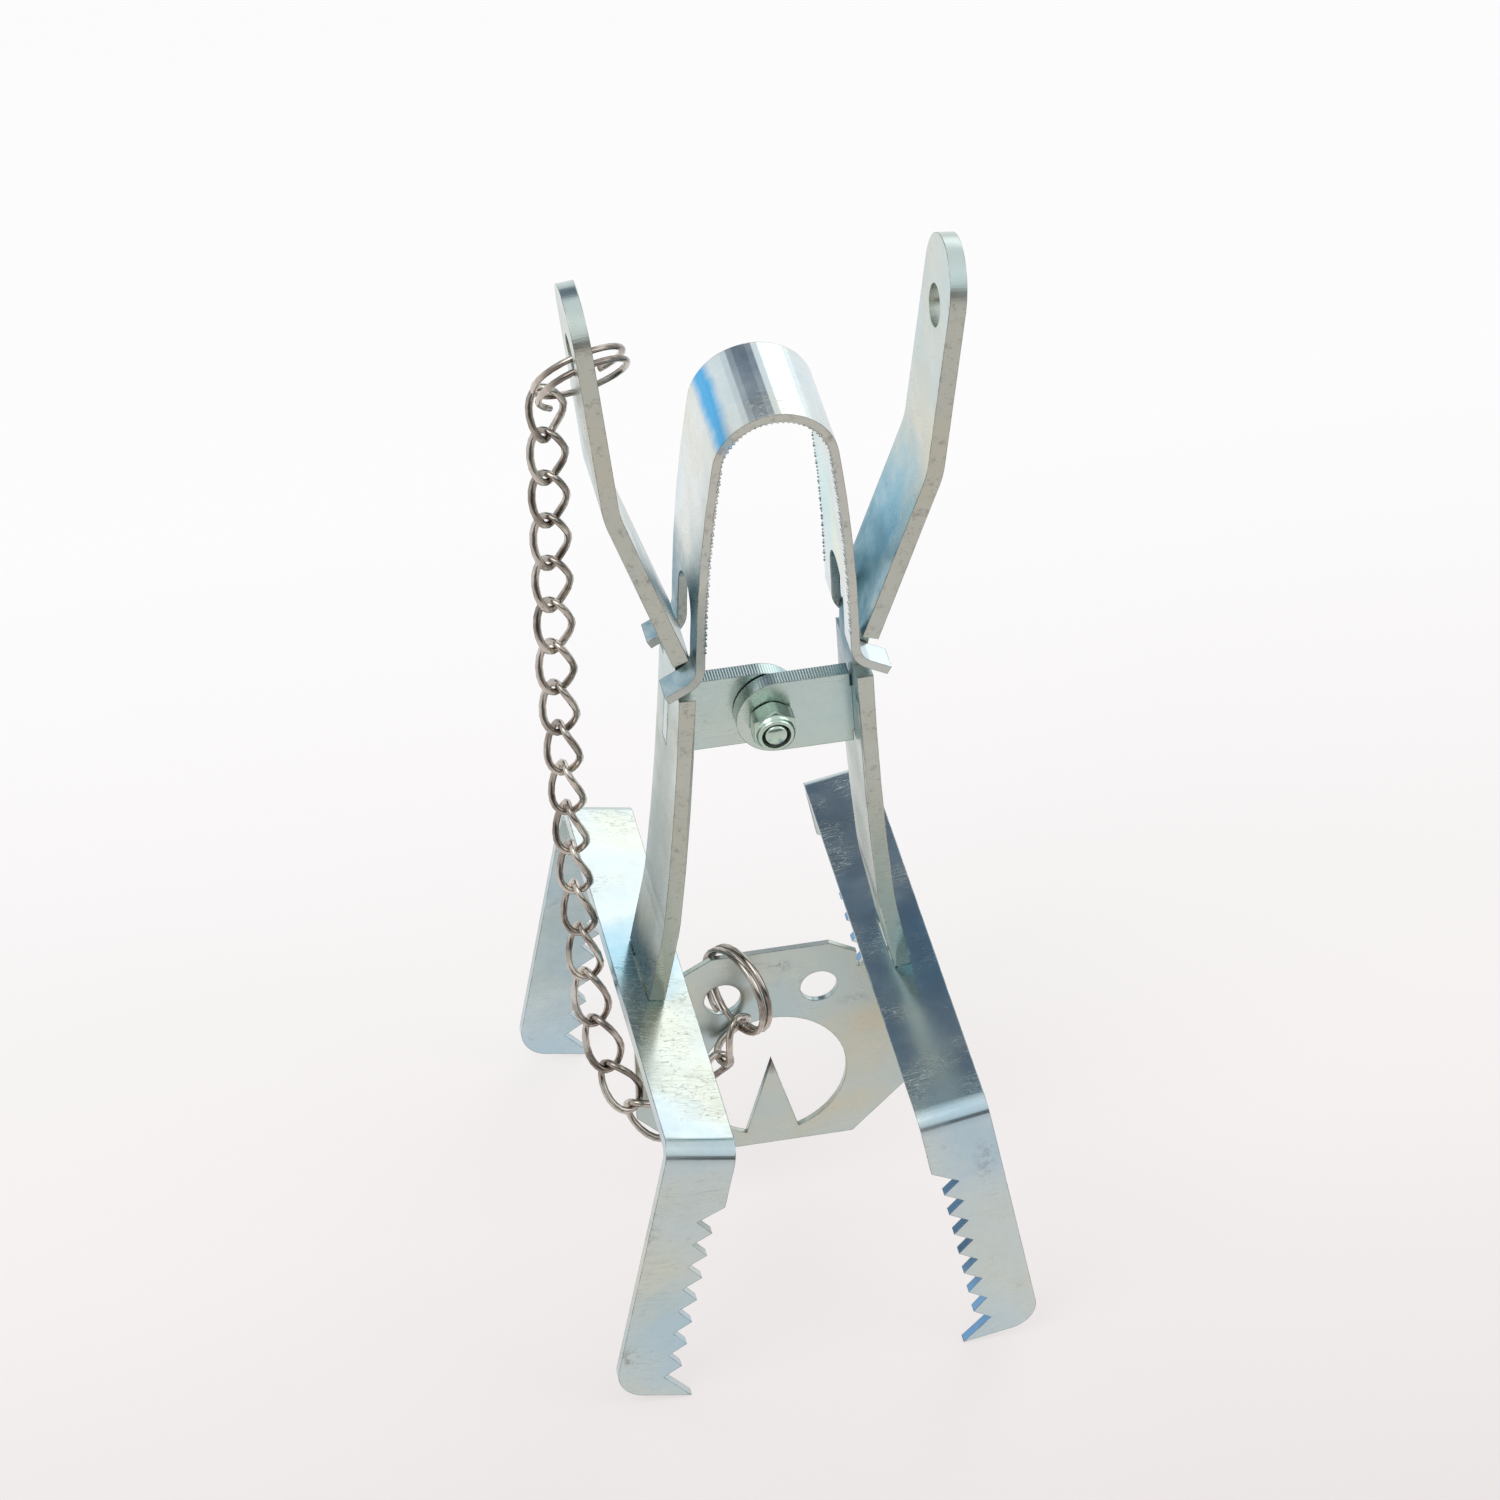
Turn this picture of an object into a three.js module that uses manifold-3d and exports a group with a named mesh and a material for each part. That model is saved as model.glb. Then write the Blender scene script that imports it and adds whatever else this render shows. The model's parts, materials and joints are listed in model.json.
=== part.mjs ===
// A scissor mole trap of zinc-plated sheet steel, set and standing on its four claws.
// Two arms meet on one bolt below an arched leaf spring. A jaw with two toothed claws is fixed
// across the foot of each arm, and a trigger plate between the jaws holds them apart.
// A chain of twisted links ties the trigger plate to the left handle.
// Millimetres, Z up. The origin is on the ground, midway between the arms, in the plane of the plate.
import * as THREE from "three";
import { mergeVertices, toCreasedNormals } from "three/addons/utils/BufferGeometryUtils.js";
import Module from "manifold-3d";

const wasm = await Module();
wasm.setup();

// Shared fits and cuts
const clearance = 0.3;
const cutOverrun = 3;
const roundSegments = 24;
const bendStep = radians(6);
const longestFacet = 14;

// Jaws
const jawThickness = 2;
const jawWidth = 13.8;
const jawHalfLength = 54.24;
const jawBendRadius = 4;
const jawTilt = radians(10.86);
const jawHalfGap = 17.68;
const clawDepth = 63.4;
const hookReach = 1.98;
const clawCornerRadius = 6;
const shoulderDepth = 14.4;
const firstRootDepth = 18.3;
const toothCount = 7;
const hookDepth = 4.78;
const toothRootInset = 4.9;
const lastRootInset = 4.5;
const toothTipInset = 1.38;
const toothTipShare = 0.48;
const tenonInset = 7.1;

// Arms, each one strip from the foot to the rounded handle
const armThickness = 3.25;
const armWidth = 19.2;
const tenonWidth = 13;
const footRun = 16;
const footBendRadius = 40;
const footLeanAfter = radians(6);
const legCurveRadius = 825;
const legLeanTop = radians(2.2);
const neckRun = 4;
const neckWidth = 11;
const neckBendRadius = 8;
const leverLean = radians(18.9);
const leverStartRun = 2.45;
const leverRun = 36.25;
const kneeRadius = 20;
const handleLean = radians(6.4);
const handleRun = 30.1;
const holeToEndCentre = 4.73;
const handleHoleRadius = 4.1;

// Pivot lugs, bolt and lock nut
const pivotAboveDeck = 63.16;
const lugThickness = 3.3;
const lugRadius = 8.25;
const lugOffset = 1.6;
const lugTenonBelow = 6;
const lugTenonAbove = 5.5;
const boltRadius = 2.4;
const boltTipRadius = 1.9;
const boltTipChamfer = 0.7;
const acrossFlats = 8;
const boltHeadHeight = 3.5;
const nutHeight = 3.9;
const nutChamfer = 0.5;
const collarHeight = 1.55;
const collarRadius = 3.75;
const collarWall = 0.4;
const collarLip = 0.3;
const lipOpeningRadius = 2.85;
const insertThickness = 0.35;
const insertHeight = 0.8;
const boltTipOut = 0.1;

// Leaf spring
const springThickness = 1.8;
const springWidth = 23.2;
const springCrestAbovePivot = 77.2;
const springCrownRadius = 11.3;
const springLean = radians(8.25);
const springSideRadius = 370;
const springLeanLow = radians(1.5);
const springStraightRun = 3.5;
const springToeRadius = 5;
const springToeTurn = radians(60);
const springToeRun = 4.5;
const springSlotWidth = 11.8;
const springSlotAboveToe = 20;

// Trigger plate
const plateThickness = 1.2;
const plateHalfWidth = 27.5;
const pinchGap = 0.33;
const slitWidth = 1.2;
const slitDepth = 6.9;
const plateRise = 1.46;
const cornerCutWidth = 5.4;
const cornerCutHeight = 3.1;
const plateShoulderDrop = 2.34;
const plateSideDepth = 37.04;
const plateDepth = 48.44;
const plateFootHalfWidth = 16.3;
const plateHoleRadius = 3.75;
const plateHoleOffset = 9.7;
const plateHoleDepth = 9.14;
const mouthRadius = 15.2;
const mouthDepth = 30.84;
const mouthFlatHalfWidth = 5.3;

// Split rings
const ringRadius = 9.05;
const ringWire = 1.3;
const ringTurns = 1.9;
const ringSides = 8;
const ringStepsPerTurn = 26;
const lowerRingYaw = radians(25);
const lowerRingRight = 2;
const lowerRingUp = 6.1;
const lowerRingForward = 4.7;
const lowerRingStart = radians(-60);
const upperRingAcrossShares = [0.94, 0, 0.33];
const upperRingDownShares = [0.27, 0.6, -0.75];
const upperRingPitch = 2.5;
const upperRingTurns = 1.78;
const upperRingOut = 1.3;
const upperRingLift = 1;
const upperRingEnd = radians(70);

// Chain of twisted links, and the route its links' centres follow from the handle to the plate
const linkWire = 1.5;
const linkLength = 13.2;
const linkWidth = 8.2;
const linkGap = 0.2;
const linkTwist = radians(-45);
const linkRoundShare = 0.88;
const linkSteps = 24;
const linkSides = 6;
const chainRoute = [
  [-39.5, 7.6, 197],
  [-39.5, 7.7, 175],
  [-39.4, 7.7, 152.5],
  [-39.2, 7.7, 133],
  [-38.4, 7.7, 113],
  [-37.5, 7.7, 93.5],
  [-36.6, 7.2, 75],
  [-35.6, 3.6, 57.5],
  [-34.1, 0, 47.5],
  [-31.2, -3.1, 38],
  [-27.7, -4.4, 32.2],
  [-20.3, -5.3, 26.5],
  [-16.2, -4.6, 31.3],
  [-11.9, -4.3, 40.1],
  [-8.9, -4.4, 47],
];
const chainRollDegrees = [
  -10, 0, 0, 0, 0, 5, 15, 25, 35, 42, 45,
  48, 45, 40, 23, 15, 7, -1, 19, 44, 70,
];

// Places that follow from the sizes
const toothPitch = (clawDepth - firstRootDepth - hookDepth) / toothCount;
const deckHeight = clawDepth * Math.cos(jawTilt) + hookReach * Math.sin(jawTilt);
const pivotHeight = deckHeight + pivotAboveDeck;
const lugGapHalf = clearance / 2;
const boltHoleRadius = boltRadius + clearance;
const headFace = lugGapHalf + lugThickness + clearance;
const wireRadius = ringWire / 2;

function radians(degrees) {
  return (degrees * Math.PI) / 180;
}

// Materials
const zinc = () => new THREE.MeshStandardMaterial({ color: "#c6d2d6", roughness: 0.38, metalness: 0.9 });
const springZinc = () => new THREE.MeshStandardMaterial({ color: "#aebfd0", roughness: 0.25, metalness: 1 });
const nickel = () => new THREE.MeshStandardMaterial({ color: "#b3a79c", roughness: 0.22, metalness: 1 });
const nylon = () => new THREE.MeshStandardMaterial({ color: "#3f4446", roughness: 0.6, metalness: 0 });

// A closed geometry as a solid for joining and cutting.
function solid(geometry) {
  const bare = geometry.clone();
  bare.deleteAttribute("normal");
  bare.deleteAttribute("uv");
  const merged = mergeVertices(bare);
  return new wasm.Manifold(
    new wasm.Mesh({
      numProp: 3,
      vertProperties: merged.attributes.position.array,
      triVerts: new Uint32Array(merged.index.array),
    }),
  );
}

// A solid back as a geometry with creased normals.
function geometryOf(made) {
  const mesh = made.getMesh();
  const geometry = new THREE.BufferGeometry();
  geometry.setAttribute("position", new THREE.BufferAttribute(Float32Array.from(mesh.vertProperties), 3));
  geometry.setIndex(new THREE.BufferAttribute(Uint32Array.from(mesh.triVerts), 1));
  return toCreasedNormals(geometry, radians(30));
}

function piece(name, geometry, material) {
  const mesh = new THREE.Mesh(geometry, material);
  mesh.name = name;
  return mesh;
}

// A shape drawn in X and Z, extruded along Y between two places.
function acrossY(shape, from, to) {
  const basis = new THREE.Matrix4().makeBasis(
    new THREE.Vector3(1, 0, 0),
    new THREE.Vector3(0, 0, 1),
    new THREE.Vector3(0, -1, 0),
  );
  const geometry = new THREE.ExtrudeGeometry(shape, {
    depth: to - from,
    bevelEnabled: false,
    curveSegments: roundSegments,
  });
  return solid(geometry.applyMatrix4(basis.setPosition(0, to, 0)));
}

// A shape drawn in Y and Z, extruded along X between two places.
function acrossX(shape, from, to) {
  const basis = new THREE.Matrix4().makeBasis(
    new THREE.Vector3(0, 1, 0),
    new THREE.Vector3(0, 0, 1),
    new THREE.Vector3(1, 0, 0),
  );
  const geometry = new THREE.ExtrudeGeometry(shape, { depth: to - from, bevelEnabled: false });
  return solid(geometry.applyMatrix4(basis.setPosition(from, 0, 0)));
}

// A shape cut square through a sheet at a station: drawn with Y across and the strip's run upward.
function throughSheet(shape, station, thickness) {
  const along = new THREE.Vector3(Math.sin(station.lean), 0, Math.cos(station.lean));
  const normal = new THREE.Vector3(Math.cos(station.lean), 0, -Math.sin(station.lean));
  const basis = new THREE.Matrix4().makeBasis(new THREE.Vector3(0, 1, 0), along, normal);
  const depth = thickness + 2 * cutOverrun;
  const geometry = new THREE.ExtrudeGeometry(shape, {
    depth,
    bevelEnabled: false,
    curveSegments: roundSegments,
  });
  geometry.translate(0, 0, -depth / 2);
  return solid(geometry.applyMatrix4(basis.setPosition(station.x, 0, station.z)));
}

function rectangle(left, right, low, high) {
  return new THREE.Shape([
    new THREE.Vector2(left, low),
    new THREE.Vector2(right, low),
    new THREE.Vector2(right, high),
    new THREE.Vector2(left, high),
  ]);
}

function disc(x, y, radius) {
  return new THREE.Shape().absarc(x, y, radius, 0, 2 * Math.PI);
}

// Walks a strip's centreline through straight runs and bends, noting stations.
// Lean is the angle of travel from upright, towards +X.
function walk(x, z, lean, steps) {
  const stations = [{ x, z, lean }];
  for (const step of steps) {
    const turn = step.run === undefined ? step.to - lean : 0;
    const length = step.run === undefined ? Math.abs(turn) * step.radius : step.run;
    const forTurn = Math.ceil(Math.abs(turn) / bendStep);
    const forLength = Math.ceil(length / longestFacet);
    const pieces = turn ? Math.max(forTurn, forLength) : 1;
    for (let i = 0; i < pieces; i++) {
      const next = lean + turn / pieces;
      if (turn) {
        const radius = Math.sign(turn) * step.radius;
        x += radius * (Math.cos(lean) - Math.cos(next));
        z += radius * (Math.sin(next) - Math.sin(lean));
      } else {
        x += length * Math.sin(lean);
        z += length * Math.cos(lean);
      }
      lean = next;
      stations.push({ x, z, lean });
    }
    stations[stations.length - 1].name = step.name;
  }
  return stations;
}

// One side of a strip, offset from its stations.
function edge(stations, offset) {
  return stations.map(
    (s) => new THREE.Vector2(s.x + offset * Math.cos(s.lean), s.z - offset * Math.sin(s.lean)),
  );
}

function strip(stations, thickness) {
  return new THREE.Shape([...edge(stations, thickness / 2), ...edge(stations, -thickness / 2).reverse()]);
}

function named(stations, name) {
  return stations.find((s) => s.name === name);
}

function between(stations, from, to) {
  return stations.slice(stations.indexOf(named(stations, from)), stations.indexOf(named(stations, to)) + 1);
}

// The place on a rising strip at a given height.
function stationAt(stations, height) {
  const i = stations.findIndex((s) => s.z > height);
  const share = (height - stations[i - 1].z) / (stations[i].z - stations[i - 1].z);
  const mix = (key) => stations[i - 1][key] + share * (stations[i][key] - stations[i - 1][key]);
  return { x: mix("x"), z: height, lean: mix("lean") };
}

// The arm's centreline, from the underside of the deck up to the handle's rounded end.
const armStations = walk(
  jawHalfGap + tenonInset * Math.cos(jawTilt) + jawThickness * Math.sin(jawTilt),
  deckHeight + tenonInset * Math.sin(jawTilt) - jawThickness * Math.cos(jawTilt),
  -jawTilt,
  [
    { run: jawThickness + clearance, name: "seat" },
    { run: footRun - clearance },
    { radius: footBendRadius, to: -footLeanAfter },
    { radius: legCurveRadius, to: -legLeanTop, name: "shoulder" },
    { run: neckRun },
    { radius: neckBendRadius, to: leverLean },
    { run: leverStartRun, name: "lever" },
    { run: leverRun },
    { radius: kneeRadius, to: handleLean },
    { run: handleRun, name: "hole" },
    { run: holeToEndCentre, name: "end" },
    { run: armWidth / 2 },
  ],
);

function faceAt(height, side) {
  const station = stationAt(armStations, height);
  return station.x + (side * armThickness) / 2 / Math.cos(station.lean);
}

// The corner waste beyond a half-round end.
function endWaste(radius) {
  const reach = radius + cutOverrun;
  const shape = new THREE.Shape();
  shape.moveTo(-radius, 0);
  shape.absarc(0, 0, radius, Math.PI, 0, true);
  shape.lineTo(reach, 0);
  shape.lineTo(reach, reach);
  shape.lineTo(-reach, reach);
  shape.lineTo(-reach, 0);
  return shape;
}

function arm(name, lugFrom, lugTo) {
  const half = armWidth / 2;
  let body = acrossY(strip(armStations, armThickness), -half, half);
  const waste = armThickness + 2 * cutOverrun;
  const neck = strip(between(armStations, "shoulder", "lever"), waste);
  const tenon = strip(armStations.slice(0, 2), waste);
  for (const side of [-1, 1]) {
    const outer = side * (half + cutOverrun);
    const neckSide = (side * neckWidth) / 2;
    body = body.subtract(acrossY(neck, Math.min(outer, neckSide), Math.max(outer, neckSide)));
    const tenonSide = (side * tenonWidth) / 2;
    body = body.subtract(acrossY(tenon, Math.min(outer, tenonSide), Math.max(outer, tenonSide)));
  }
  body = body.subtract(throughSheet(endWaste(half), named(armStations, "end"), armThickness));
  const hole = disc(0, 0, handleHoleRadius);
  body = body.subtract(throughSheet(hole, named(armStations, "hole"), armThickness));
  const slotLow = pivotHeight - lugTenonBelow;
  const slotHigh = pivotHeight + lugTenonAbove;
  const slot = rectangle(
    faceAt(pivotHeight, -1) - cutOverrun,
    faceAt(pivotHeight, 1) + cutOverrun,
    slotLow,
    slotHigh,
  );
  body = body.subtract(acrossY(slot, lugFrom - clearance, lugTo + clearance));
  return piece(name, geometryOf(body), zinc());
}

// A pivot lug: a plate with a round eye, its tenon let through the arm and flush outside.
function lug(name, from, to) {
  const low = pivotHeight - lugRadius;
  const high = pivotHeight + lugRadius;
  const tenonLow = pivotHeight - lugTenonBelow + clearance;
  const tenonHigh = pivotHeight + lugTenonAbove - clearance;
  const shape = new THREE.Shape();
  shape.moveTo(faceAt(low, -1) - clearance, low);
  shape.lineTo(faceAt(tenonLow, -1) - clearance, tenonLow);
  shape.lineTo(faceAt(tenonLow, 1), tenonLow);
  shape.lineTo(faceAt(tenonHigh, 1), tenonHigh);
  shape.lineTo(faceAt(tenonHigh, -1) - clearance, tenonHigh);
  shape.lineTo(faceAt(high, -1) - clearance, high);
  shape.absarc(lugOffset, pivotHeight, lugRadius, Math.PI / 2, (3 * Math.PI) / 2);
  shape.holes.push(disc(0, pivotHeight, boltHoleRadius));
  return piece(name, geometryOf(acrossY(shape, from, to)), zinc());
}

// One half of the jaw's long profile, from mid-deck out over the bend and down the claw.
function halfProfile(clawLean) {
  return walk(0, -jawThickness / 2, Math.PI / 2, [
    { run: jawHalfLength - jawBendRadius },
    { radius: jawBendRadius - jawThickness / 2, to: Math.PI + clawLean },
    { run: clawDepth },
  ]);
}

// The claw's toothed outline, with the deck's width above it. X runs outward, Y upward from the deck.
function clawOutline() {
  const points = [
    [0, cutOverrun],
    [0, -shoulderDepth],
    [toothRootInset, -firstRootDepth],
  ];
  for (let i = 0; i < toothCount; i++) {
    const rootInset = toothRootInset + ((lastRootInset - toothRootInset) * (i + 1)) / toothCount;
    points.push([toothTipInset, -(firstRootDepth + toothPitch * (i + toothTipShare))]);
    points.push([rootInset, -(firstRootDepth + toothPitch * (i + 1))]);
  }
  const shape = new THREE.Shape(points.map(([x, y]) => new THREE.Vector2(x, y)));
  shape.lineTo(-hookReach, -clawDepth);
  shape.lineTo(jawWidth - clawCornerRadius, -clawDepth);
  const cornerHeight = clawCornerRadius - clawDepth;
  shape.absarc(jawWidth - clawCornerRadius, cornerHeight, clawCornerRadius, -Math.PI / 2, 0);
  shape.lineTo(jawWidth, cutOverrun);
  return shape;
}

// A jaw in its own frame: X outward across the deck, Z square to the deck, origin on its inner top edge.
function jaw(name, frontLean, rearLean) {
  const half = jawThickness / 2;
  const flipped = (points) => points.map((p) => new THREE.Vector2(-p.x, p.y));
  const front = halfProfile(frontLean);
  const rear = halfProfile(rearLean);
  const profile = new THREE.Shape([
    ...flipped(edge(front, -half)).reverse(),
    ...edge(rear, -half).slice(1),
    ...edge(rear, half).reverse(),
    ...flipped(edge(front, half)).slice(1),
  ]);
  const reach = jawHalfLength + cutOverrun;
  const slotHalf = armThickness / 2 + clearance;
  const slotSide = tenonWidth / 2 + clearance;
  const slotLow = -jawThickness - cutOverrun;
  const slot = rectangle(tenonInset - slotHalf, tenonInset + slotHalf, slotLow, cutOverrun);
  const body = acrossX(profile, -hookReach - cutOverrun, jawWidth + cutOverrun)
    .intersect(acrossY(clawOutline(), -reach, reach))
    .subtract(acrossY(slot, -slotSide, slotSide));
  const mesh = piece(name, geometryOf(body), zinc());
  mesh.position.set(jawHalfGap, 0, deckHeight);
  mesh.rotation.y = -jawTilt;
  return mesh;
}

// Everything fixed to one arm, modelled on the +X side.
function side(prefix, lugFrom, lugTo, frontLean, rearLean) {
  const group = new THREE.Group();
  group.add(arm(prefix + "_arm", lugFrom, lugTo));
  group.add(lug(prefix + "_lug", lugFrom, lugTo));
  group.add(jaw(prefix + "_jaw", frontLean, rearLean));
  return group;
}

// The leaf spring: half its centreline from the crown's top down to one toe.
const springStations = walk(0, pivotHeight + springCrestAbovePivot, Math.PI / 2, [
  { radius: springCrownRadius, to: Math.PI - springLean },
  { radius: springSideRadius, to: Math.PI - springLeanLow },
  { run: springStraightRun },
  { radius: springToeRadius, to: Math.PI - springLeanLow - springToeTurn },
  { run: springToeRun, name: "toe" },
]);

function spring() {
  const half = springThickness / 2;
  const mirrored = (points) => points.map((p) => new THREE.Vector2(-p.x, p.y));
  const outline = new THREE.Shape([
    ...mirrored(edge(springStations, -half)).reverse(),
    ...edge(springStations, -half).slice(1),
    ...edge(springStations, half).reverse(),
    ...mirrored(edge(springStations, half)).slice(1),
  ]);
  let body = acrossY(outline, -springWidth / 2, springWidth / 2);
  const toe = named(springStations, "toe");
  const slotHalf = springSlotWidth / 2;
  const slotTop = toe.z + springSlotAboveToe - slotHalf;
  const slot = new THREE.Shape();
  slot.moveTo(-slotHalf, toe.z - cutOverrun);
  slot.lineTo(slotHalf, toe.z - cutOverrun);
  slot.absarc(0, slotTop, slotHalf, 0, Math.PI);
  const reach = toe.x + cutOverrun;
  body = body.subtract(acrossX(slot, -reach, reach));
  return piece("spring", geometryOf(body), springZinc());
}

function revolve(points) {
  return new THREE.LatheGeometry(
    points.map(([radius, y]) => new THREE.Vector2(radius, y)),
    roundSegments,
  );
}

// The bolt runs along Y: its head behind the rear lug, its tip just out of the nut in front.
const nutFace = -headFace;
const collarFace = nutFace - nutHeight - collarHeight;

function bolt() {
  const tip = collarFace - boltTipOut;
  const shank = solid(
    revolve([
      [0, tip],
      [boltTipRadius, tip],
      [boltRadius, tip + boltTipChamfer],
      [boltRadius, headFace + boltHeadHeight / 2],
      [0, headFace + boltHeadHeight / 2],
    ]),
  );
  const corner = acrossFlats / Math.sqrt(3);
  const hex = new THREE.CylinderGeometry(corner, corner, boltHeadHeight, 6);
  const head = solid(hex.translate(0, headFace + boltHeadHeight / 2, 0));
  const mesh = piece("bolt", geometryOf(shank.add(head)), zinc());
  mesh.position.z = pivotHeight;
  return mesh;
}

function nut() {
  const corner = acrossFlats / Math.sqrt(3);
  const flat = acrossFlats / 2;
  const back = nutFace - nutHeight;
  const prism = new THREE.CylinderGeometry(corner, corner, nutHeight, 6);
  const hex = solid(prism.translate(0, nutFace - nutHeight / 2, 0));
  const rounding = solid(
    revolve([
      [0, back],
      [flat, back],
      [corner, back + nutChamfer],
      [corner, nutFace - nutChamfer],
      [flat, nutFace],
      [0, nutFace],
    ]),
  );
  const collar = solid(
    revolve([
      [0, collarFace],
      [collarRadius - collarWall, collarFace],
      [collarRadius, collarFace + collarLip],
      [collarRadius, nutFace - nutHeight / 2],
      [0, nutFace - nutHeight / 2],
    ]),
  );
  const seat = collarRadius - collarWall;
  const bore = solid(
    revolve([
      [0, collarFace - cutOverrun],
      [lipOpeningRadius, collarFace - cutOverrun],
      [lipOpeningRadius, collarFace + collarLip],
      [seat, collarFace + collarLip],
      [seat, back],
      [boltHoleRadius, back],
      [boltHoleRadius, nutFace + cutOverrun],
      [0, nutFace + cutOverrun],
    ]),
  );
  const mesh = piece("lock_nut", geometryOf(hex.intersect(rounding).add(collar).subtract(bore)), zinc());
  mesh.position.z = pivotHeight;
  return mesh;
}

function insert() {
  const inner = boltHoleRadius;
  const outer = inner + insertThickness;
  const low = collarFace + collarLip + clearance / 2;
  const high = low + insertHeight;
  const geometry = revolve([
    [inner, high],
    [inner, low],
    [outer, low],
    [outer, high],
    [inner, high],
  ]);
  const mesh = piece("nut_insert", geometryOf(solid(geometry)), nylon());
  mesh.position.z = pivotHeight;
  return mesh;
}

// The trigger plate: a raised middle between the decks, its corners cut to slip out under them,
// shoulders below the decks, and a round mouth with a flat at its foot.
function triggerPlate() {
  const top = deckHeight + plateRise;
  const middle = jawHalfGap - pinchGap;
  const slitOuter = middle + slitWidth;
  const slitRadius = slitWidth / 2;
  const slitFloor = top - slitDepth + slitRadius;
  const shoulder = deckHeight - plateShoulderDrop;
  const sideLow = deckHeight - plateSideDepth;
  const low = deckHeight - plateDepth;
  const shape = new THREE.Shape();
  shape.moveTo(plateFootHalfWidth, low);
  shape.lineTo(plateHalfWidth, sideLow);
  shape.lineTo(plateHalfWidth, shoulder);
  shape.lineTo(slitOuter, shoulder);
  shape.absarc(middle + slitRadius, slitFloor, slitRadius, 0, Math.PI, true);
  shape.lineTo(middle, top - cornerCutHeight);
  shape.lineTo(middle - cornerCutWidth, top);
  shape.lineTo(cornerCutWidth - middle, top);
  shape.lineTo(-middle, top - cornerCutHeight);
  shape.absarc(-middle - slitRadius, slitFloor, slitRadius, 0, Math.PI, true);
  shape.lineTo(-slitOuter, shoulder);
  shape.lineTo(-plateHalfWidth, shoulder);
  shape.lineTo(-plateHalfWidth, sideLow);
  shape.lineTo(-plateFootHalfWidth, low);
  for (const hand of [-1, 1]) {
    shape.holes.push(disc(hand * plateHoleOffset, deckHeight - plateHoleDepth, plateHoleRadius));
  }
  const mouthHeight = deckHeight - mouthDepth;
  const reach = Math.asin(mouthFlatHalfWidth / mouthRadius);
  const mouth = new THREE.Path();
  mouth.absarc(0, mouthHeight, mouthRadius, reach - Math.PI / 2, (3 * Math.PI) / 2 - reach);
  shape.holes.push(mouth);
  return piece("trigger_plate", geometryOf(acrossY(shape, 0, plateThickness)), zinc());
}

// A coil of wire: turns about a centre in the plane of two directions, rising along their normal.
class Coil extends THREE.Curve {
  constructor(centre, across, up, pitch, from, to) {
    super();
    Object.assign(this, { centre, across, up, pitch, from, to });
    this.rise = across.clone().cross(up);
  }

  getPoint(share) {
    const angle = this.from + (this.to - this.from) * share;
    const lift = (this.pitch * (angle - (this.from + this.to) / 2)) / (2 * Math.PI);
    return this.centre
      .clone()
      .addScaledVector(this.across, ringRadius * Math.cos(angle))
      .addScaledVector(this.up, ringRadius * Math.sin(angle))
      .addScaledVector(this.rise, lift);
  }
}

function splitRing(name, coil) {
  const section = new THREE.Shape(
    Array.from({ length: ringSides }, (_, i) => {
      const angle = (2 * Math.PI * i) / ringSides;
      return new THREE.Vector2(wireRadius * Math.cos(angle), wireRadius * Math.sin(angle));
    }),
  );
  const steps = Math.round(ringTurns * ringStepsPerTurn);
  const geometry = new THREE.ExtrudeGeometry(section, { extrudePath: coil, steps });
  return piece(name, geometryOf(solid(geometry)), nickel());
}

// The lower ring goes through the plate's left hole and over its top edge.
function lowerRing() {
  const centre = new THREE.Vector3(
    lowerRingRight - plateHoleOffset,
    -lowerRingForward,
    deckHeight - plateHoleDepth + lowerRingUp,
  );
  const across = new THREE.Vector3(-Math.sin(lowerRingYaw), Math.cos(lowerRingYaw), 0);
  const up = new THREE.Vector3(0, 0, 1);
  const end = lowerRingStart + ringTurns * 2 * Math.PI;
  return splitRing("lower_ring", new Coil(centre, across, up, ringWire + clearance, lowerRingStart, end));
}

// The upper ring hangs in the left handle's hole, its far side behind the handle's rear edge.
function upperRing() {
  const hole = named(armStations, "hole");
  const across = new THREE.Vector3(...upperRingAcrossShares).normalize();
  const down = new THREE.Vector3(...upperRingDownShares);
  down.addScaledVector(across, -down.dot(across)).normalize();
  const restHeight = hole.z - handleHoleRadius + wireRadius + upperRingLift;
  const rest = new THREE.Vector3(-hole.x - upperRingOut, 0, restHeight);
  const centre = rest.addScaledVector(down, ringRadius);
  const start = upperRingEnd - upperRingTurns * 2 * Math.PI;
  const coil = new Coil(centre, across, down, upperRingPitch, start, upperRingEnd);
  return splitRing("upper_ring", coil);
}

// A cosine or sine swelled towards its ends, which squares an oval off a little.
function swelled(value) {
  return Math.sign(value) * Math.abs(value) ** linkRoundShare;
}

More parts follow.
